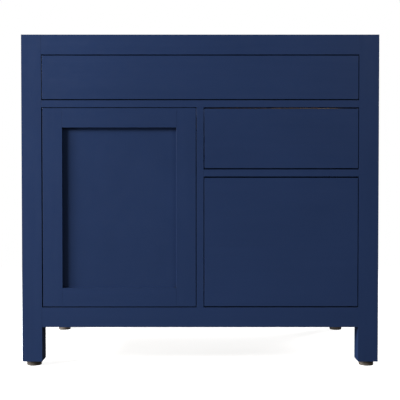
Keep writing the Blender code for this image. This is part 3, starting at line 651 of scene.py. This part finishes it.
STRIKE_THICKNESS_AND_GAP = 0.0012  # from the door's back to the strike's face
STRIKE_HALF_WIDTH, STRIKE_HALF_HEIGHT = 0.005, 0.010  # to the centres of its corners
STRIKE_CORNER = 0.003
STRIKE_SCREWS_APART = 0.019
BASE_THICKNESS, BASE_EAR, BASE_END = 0.0022, 0.009, 0.006
LATCH_SCREW_EAR, LATCH_SCREW_END = 0.0045, 0.014


def latch_fittings():
    """The strike plate on the door, with its round corners, and the base that holds the latch's housing."""
    plunger_low, plunger_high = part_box("latch_plunger")
    x = (plunger_low.x + plunger_high.x) / 2
    z = (plunger_low.z + plunger_high.z) / 2
    door_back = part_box("door_stile_right")[1].y
    plate_front, plate_rear = door_back + TOUCH, door_back + STRIKE_THICKNESS_AND_GAP
    outline = []
    for quarter, (side, up) in enumerate(((1, 1), (-1, 1), (-1, -1), (1, -1))):
        for i in range(7):
            a = (quarter + i / 6) * math.pi / 2
            u = side * STRIKE_HALF_WIDTH + STRIKE_CORNER * math.cos(a)
            v = up * STRIKE_HALF_HEIGHT + STRIKE_CORNER * math.sin(a)
            outline.append((x + u, z + v))
    plate = bmesh.new()
    add_prism(plate, [(u, plate_front, v) for u, v in outline], [(u, plate_rear, v) for u, v in outline])
    finish_piece("latch_strike", plate, ZINC["N"], "door", 0.0002, segments=1)
    places = [(x, plate_rear, z + dz) for dz in apart(STRIKE_SCREWS_APART)]
    screws("strike_screws", "door", places, "+Y", HEAD_RADIUS["strike"])
    low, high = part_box("latch_housing")
    base_face = high.x - BASE_THICKNESS
    ears = bmesh.new()
    corner = Vector((0, BASE_END, -BASE_EAR))
    add_box(ears, Vector((base_face, low.y, low.z)) + corner, high - corner)
    finish_piece("latch_base", ears, GREY_PLASTIC, "cabinet", 0.0007)
    ys = (low.y + LATCH_SCREW_END, high.y - LATCH_SCREW_END)
    zs = (low.z - LATCH_SCREW_EAR, high.z + LATCH_SCREW_EAR)
    places = [(base_face, y, z) for y in ys for z in zs]
    screws("latch_screws", "cabinet", places, "-X", HEAD_RADIUS["latch"])


STAPLE_INSET = 0.010  # from the back panel's edges
STAPLE_HALF_SIZE = Vector((0.0040, 0.0003, 0.0006))
BATTEN_SCREW_HEIGHT, BATTEN_SCREW_END = 0.011, 0.05


def carcass_fasteners():
    """Staples round the back panel's inner face, and screws through the battens."""
    low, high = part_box("back_panel")
    edge = Vector((STAPLE_INSET, 0, STAPLE_INSET))
    start, end = low + edge, high - edge
    places = [(x, z) for x in spread(start.x, end.x, 10) for z in (start.z, end.z)]
    places += [(x, z) for z in spread(start.z, end.z, 8)[1:-1] for x in (start.x, end.x)]
    shape = bmesh.new()
    for x, z in places:
        centre = Vector((x, low.y, z))
        add_box(shape, centre - STAPLE_HALF_SIZE, centre + STAPLE_HALF_SIZE)
    finish_piece("back_panel_staples", shape, ZINC["N"], "cabinet", 0.0002, segments=1)
    for level in LEVELS:
        low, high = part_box(f"runner_batten_{level}")
        ys = spread(low.y + BATTEN_SCREW_END, high.y - BATTEN_SCREW_END, 3)
        places = [(low.x, y, low.z + BATTEN_SCREW_HEIGHT) for y in ys]
        screws(f"batten_screws_{level}", "cabinet", places, "-X", HEAD_RADIUS["batten"])


joint_fillers()
cleats()
corner_blocks()
hinge_fittings()
drawer_fittings()
latch_fittings()
carcass_fasteners()


# ---- Studio -------------------------------------------------------------------------------------------------------
WORLD_LIGHT = 0.05  # strength of the white surroundings, except where the camera sees them
FLOOR_LIGHT = 0.05  # the same for the floor's own glow, far out
FLOOR_LIFT = 0.85  # glow that only the camera sees, under the object
FLOOR_BOUNCE = 0.20  # the floor's tone as it lights the object
FLOOR_MIRRORED = 0.03  # the floor's tone as the paint mirrors it
FLOOR_RADIUS = 14.0
PAPER_ENDS, WHITE_STARTS = 0.9, 2.4  # distances from the middle between which paper turns into plain white


def studio_material():
    """White paper: it takes soft shadows near the object and fades to plain white further out."""
    n = Nodes("studio_paper")
    cloud = n.noise(n.mapped(), 1.5, 2.0, 0.5)
    paths = n.add("ShaderNodeLightPath")
    white = n.mix(n.ranged(cloud, 0.3, 0.7), (0.93,) * 3, (0.95,) * 3)
    unseen = n.mix(paths.outputs["Is Glossy Ray"], (FLOOR_BOUNCE,) * 3, (FLOOR_MIRRORED,) * 3)
    n.colour(n.mix(paths.outputs["Is Camera Ray"], unseen, white))
    n.set(Roughness=0.95, Specular_IOR_Level=0.0)
    length = n.add("ShaderNodeVectorMath", operation="LENGTH")
    n.link(n.object_space, length.inputs[0])
    far = n.ranged(length.outputs["Value"], PAPER_ENDS, WHITE_STARTS)
    glow = n.add("ShaderNodeEmission")
    n.link(n.ranged(paths.outputs["Is Camera Ray"], 0.0, 1.0, FLOOR_LIGHT, 1.0), glow.inputs["Strength"])
    blend = n.add("ShaderNodeMixShader")
    n.link(far, blend.inputs[0])
    lift = n.add("ShaderNodeEmission")
    n.link(n.math("MULTIPLY", paths.outputs["Is Camera Ray"], FLOOR_LIFT), lift.inputs["Strength"])
    lifted = n.add("ShaderNodeAddShader")
    n.link(n.shader.outputs[0], lifted.inputs[0])
    n.link(lift.outputs[0], lifted.inputs[1])
    n.link(lifted.outputs[0], blend.inputs[1])
    n.link(glow.outputs[0], blend.inputs[2])
    n.link(blend.outputs[0], n.tree.nodes["Material Output"].inputs["Surface"])
    return n.material


def build_floor():
    shape = bmesh.new()
    bmesh.ops.create_circle(shape, cap_ends=True, segments=96, radius=FLOOR_RADIUS)
    mesh = bpy.data.meshes.new("studio_floor")
    shape.to_mesh(mesh)
    shape.free()
    floor = bpy.data.objects.new("studio_floor", mesh)
    floor.data.materials.append(studio_material())
    scene.collection.objects.link(floor)


def build_world():
    """White all round where the camera sees it, but dim as a light. The area lights do the modelling."""
    world = bpy.data.worlds.new("studio_world")
    world.use_nodes = True
    tree = world.node_tree
    background = tree.nodes["Background"]
    background.inputs["Color"].default_value = (1, 1, 1, 1)
    paths = tree.nodes.new("ShaderNodeLightPath")
    strength = tree.nodes.new("ShaderNodeMapRange")
    strength.inputs["To Min"].default_value = WORLD_LIGHT
    strength.inputs["To Max"].default_value = 1.0
    tree.links.new(paths.outputs["Is Camera Ray"], strength.inputs["Value"])
    tree.links.new(strength.outputs["Result"], background.inputs["Strength"])
    scene.world = world


def area_light(name, location, target, size, power):
    data = bpy.data.lights.new(name, "AREA")
    data.shape = "RECTANGLE"
    data.size, data.size_y = size
    data.energy = power
    light = bpy.data.objects.new(name, data)
    light.location = location
    light.rotation_euler = (Vector(target) - Vector(location)).to_track_quat("-Z", "Y").to_euler()
    scene.collection.objects.link(light)


build_floor()
build_world()
area_light("key", (-3.38, -1.83, 2.01), (0, -0.27, 0.45), (1.6, 1.2), 292)
area_light("fill", (2.1, -2.5, 2.1), (0.2, -0.27, 0.45), (1.2, 1.2), 24)
area_light("low", (-2.6, -0.75, 0.30), (0.4, -0.25, 0.06), (0.5, 0.3), 42)
area_light("overhead", (0.2, 0.9, 3.4), (0, 0.25, 0.0), (2.6, 1.8), 8)
area_light("rear", (2.6, 1.9, 1.1), (0.1, 0.1, 0.45), (1.4, 0.8), 55)
scene.view_settings.view_transform = "Standard"
